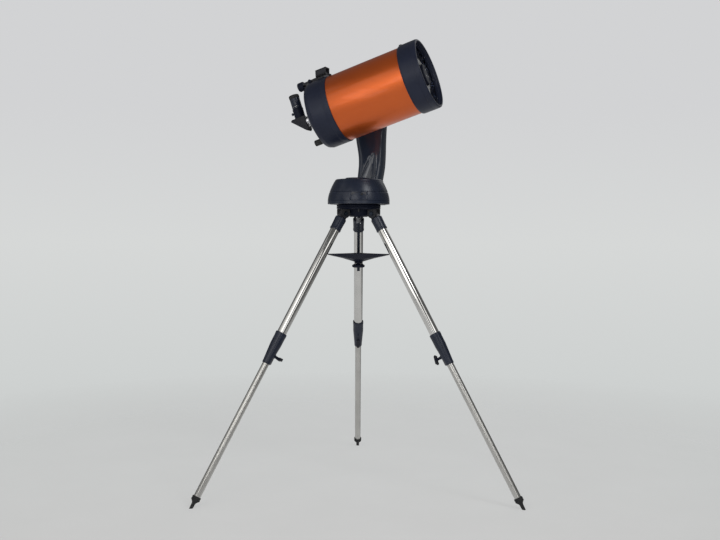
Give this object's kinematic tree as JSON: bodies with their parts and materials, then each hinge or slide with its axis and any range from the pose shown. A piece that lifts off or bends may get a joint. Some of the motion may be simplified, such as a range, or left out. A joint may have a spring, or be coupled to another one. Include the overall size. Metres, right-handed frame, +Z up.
{
  "type": "schmidt cassegrain telescope",
  "caption": "Short, wide catadioptric telescope on a single-arm motorised altazimuth mount and a folding steel tripod, with a star diagonal, eyepiece and red-dot finder.",
  "frame": {"origin": "on the floor, at the centre of the bounding box's underside", "axes": "+Z up; +Y from the side the tube is seen from, towards the rear leg; +X to the right, the side the tube points to"},
  "size_m": [1.051, 0.9128, 1.4893],
  "materials": {
    "orange_tube": "metallic orange enamel, glossy",
    "black_casting": "satin black paint over cast metal",
    "black_plastic": "satin black moulded plastic with a fine grain",
    "black_rubber": "matt black rubber",
    "bright_steel": "polished stainless tube",
    "dull_steel": "brushed stainless tube",
    "chrome_trim": "chrome plating",
    "lens_glass": "coated optical glass",
    "mirror_glass": "aluminised glass",
    "brass_gear": "machined brass"
  },
  "bodies": {
    "stand": {"tripod_head": "black_casting", "centre_rod": "dull_steel", "leg_pivot_bolt_1": "chrome_trim", "leg_pivot_bolt_2": "chrome_trim", "leg_pivot_bolt_3": "chrome_trim", "azimuth_plate": "black_casting", "azimuth_wheel": "brass_gear"},
    "brace": {"brace_tray": "black_plastic"},
    "brace_knob": {"brace_knob": "black_plastic"},
    "base": {"base_shell": "black_plastic", "port_panel": "black_plastic", "azimuth_drive": "dull_steel", "arm_inner_shell": "black_plastic", "arm_outer_shell": "black_plastic"},
    "power_switch": {"power_switch": "black_rubber"},
    "battery_cover": {"battery_cover": "black_plastic"},
    "hand_control": {"hand_control": "black_plastic"},
    "keypad": {"hand_control_keypad": "black_rubber"},
    "saddle": {"altitude_shaft": "dull_steel", "altitude_wheel": "brass_gear", "dovetail_saddle": "black_casting"},
    "saddle_knob": {"saddle_knob": "black_plastic"},
    "tube": {"dovetail_bar": "black_casting", "main_tube": "orange_tube", "front_cell": "black_casting", "corrector_plate": "lens_glass", "corrector_retainer": "black_plastic", "secondary_cell": "black_plastic", "secondary_mirror": "mirror_glass", "rear_cell": "black_casting", "primary_baffle": "black_plastic", "visual_back": "chrome_trim", "finder_bracket": "black_plastic", "finder": "black_plastic"},
    "primary_mirror": {"primary_mirror": "mirror_glass"},
    "focus_knob": {"focus_knob": "black_rubber"},
    "visual_back_screw": {"visual_back_screw": "chrome_trim"},
    "diagonal": {"diagonal": "black_plastic"},
    "diagonal_screw": {"diagonal_screw": "chrome_trim"},
    "eyepiece": {"eyepiece": "black_plastic", "eyecup": "black_rubber"},
    "finder_knob": {"finder_knob": "black_plastic"},
    "leg_1": {"leg_socket_1": "black_plastic", "upper_tube_1": "bright_steel", "leg_clamp_1": "black_plastic"},
    "clamp_knob_1": {"clamp_knob_1": "black_plastic"},
    "lower_leg_1": {"lower_tube_1": "dull_steel", "foot_1": "black_rubber"},
    "leg_2": {"leg_socket_2": "black_plastic", "upper_tube_2": "bright_steel", "leg_clamp_2": "black_plastic"},
    "clamp_knob_2": {"clamp_knob_2": "black_plastic"},
    "lower_leg_2": {"lower_tube_2": "dull_steel", "foot_2": "black_rubber"},
    "leg_3": {"leg_socket_3": "black_plastic", "upper_tube_3": "bright_steel", "leg_clamp_3": "black_plastic"},
    "clamp_knob_3": {"clamp_knob_3": "black_plastic"},
    "lower_leg_3": {"lower_tube_3": "dull_steel", "foot_3": "black_rubber"}
  },
  "joints": [
    {"name": "leg_fold_1", "type": "hinge", "parent": "stand", "child": "leg_1", "pos_m": [0, -0.09065, 0.92564], "axis": [-1, 0, 0], "range_deg": [0, 15]},
    {"name": "leg_extend_1", "type": "slide", "parent": "leg_1", "child": "lower_leg_1", "axis": [0, -0.5046, 0.8634], "range_m": [-0.04, 0.35]},
    {"name": "clamp_knob_spin_1", "type": "hinge", "parent": "leg_1", "child": "clamp_knob_1", "pos_m": [0, 0.16051, 0.45623], "axis": [0, -0.8634, -0.5046], "range_deg": [0, 540]},
    {"name": "leg_fold_2", "type": "hinge", "parent": "stand", "child": "leg_2", "pos_m": [-0.05114, -0.17923, 0.92564], "axis": [0.5, -0.866, 0], "range_deg": [0, 15]},
    {"name": "leg_extend_2", "type": "slide", "parent": "leg_2", "child": "lower_leg_2", "axis": [0.437, 0.2523, 0.8634], "range_m": [-0.04, 0.35]},
    {"name": "clamp_knob_spin_2", "type": "hinge", "parent": "leg_2", "child": "clamp_knob_2", "pos_m": [-0.26865, -0.30481, 0.45623], "axis": [0.7477, 0.4317, -0.5046], "range_deg": [0, 540]},
    {"name": "leg_fold_3", "type": "hinge", "parent": "stand", "child": "leg_3", "pos_m": [0.05114, -0.17923, 0.92564], "axis": [0.5, 0.866, 0], "range_deg": [0, 15]},
    {"name": "leg_extend_3", "type": "slide", "parent": "leg_3", "child": "lower_leg_3", "axis": [-0.437, 0.2523, 0.8634], "range_m": [-0.04, 0.35]},
    {"name": "clamp_knob_spin_3", "type": "hinge", "parent": "leg_3", "child": "clamp_knob_3", "pos_m": [0.26865, -0.30481, 0.45623], "axis": [-0.7477, 0.4317, -0.5046], "range_deg": [0, 540]},
    {"name": "brace_drop", "type": "slide", "parent": "stand", "child": "brace", "axis": [0, 0, -1], "range_m": [0, 0.146]},
    {"name": "brace_knob_spin", "type": "hinge", "parent": "brace", "child": "brace_knob", "pos_m": [0, -0.1497, 0.75], "axis": [0, 0, 1], "continuous": true},
    {"name": "azimuth_turn", "type": "hinge", "parent": "stand", "child": "base", "pos_m": [0, -0.1497, 0.96], "axis": [0, 0, 1], "continuous": true},
    {"name": "power_switch_slide", "type": "slide", "parent": "base", "child": "power_switch", "axis": [1, 0, 0], "range_m": [0, 0.005]},
    {"name": "battery_cover_lift", "type": "slide", "parent": "base", "child": "battery_cover", "axis": [0, 0, 1], "range_m": [0, 0.03]},
    {"name": "hand_control_pull", "type": "slide", "parent": "base", "child": "hand_control", "axis": [0.3315, 0.9362, -0.1167], "range_m": [0, 0.06]},
    {"name": "keypad_press", "type": "slide", "parent": "hand_control", "child": "keypad", "axis": [-0.3315, -0.9362, 0.1167], "range_m": [0, 0.0006], "stiffness_N_per_m": 1500},
    {"name": "altitude_tilt", "type": "hinge", "parent": "base", "child": "saddle", "pos_m": [0.03338, -0.05544, 1.295], "axis": [0.3338, 0.9426, 0], "range_deg": [-71.7, 23.3]},
    {"name": "saddle_knob_spin", "type": "hinge", "parent": "saddle", "child": "saddle_knob", "pos_m": [0.04234, -0.07718, 1.24753], "axis": [0.296, -0.1048, -0.9494], "range_deg": [0, 540]},
    {"name": "tube_balance", "type": "slide", "parent": "saddle", "child": "tube", "axis": [0.895, -0.3169, 0.314], "range_m": [0, 0.05]},
    {"name": "focus_turn", "type": "hinge", "parent": "tube", "child": "focus_knob", "pos_m": [-0.13636, -0.1587, 1.16501], "axis": [-0.895, 0.3169, -0.314], "range_deg": [-1800, 1800]},
    {"name": "mirror_focus", "type": "slide", "parent": "tube", "child": "primary_mirror", "axis": [0.895, -0.3169, 0.314], "range_m": [-0.006, 0.006]},
    {"name": "visual_back_screw_spin", "type": "hinge", "parent": "tube", "child": "visual_back_screw", "pos_m": [-0.16693, -0.13727, 1.26265], "axis": [-0.296, 0.1048, 0.9494], "range_deg": [0, 540]},
    {"name": "diagonal_turn", "type": "hinge", "parent": "tube", "child": "diagonal", "pos_m": [-0.17578, -0.13413, 1.23848], "axis": [0.895, -0.3169, 0.314], "continuous": true},
    {"name": "diagonal_screw_spin", "type": "hinge", "parent": "diagonal", "child": "diagonal_screw", "pos_m": [-0.22342, -0.11726, 1.2639], "axis": [-0.895, 0.3169, -0.314], "range_deg": [0, 540]},
    {"name": "eyepiece_pull", "type": "slide", "parent": "diagonal", "child": "eyepiece", "axis": [-0.296, 0.1048, 0.9494], "range_m": [0, 0.028]},
    {"name": "finder_knob_spin", "type": "hinge", "parent": "tube", "child": "finder_knob", "pos_m": [-0.16688, -0.15426, 1.37114], "axis": [-0.3338, -0.9426, 0], "range_deg": [0, 270]}
  ],
  "couplings": [
    {"joint": "leg_fold_2", "follows": "leg_fold_1", "ratio": 1},
    {"joint": "leg_fold_3", "follows": "leg_fold_1", "ratio": 1},
    {"joint": "brace_drop", "follows": "leg_fold_1", "m_per_rad": 0.5555},
    {"joint": "focus_turn", "follows": "mirror_focus", "rad_per_m": 5235}
  ]
}
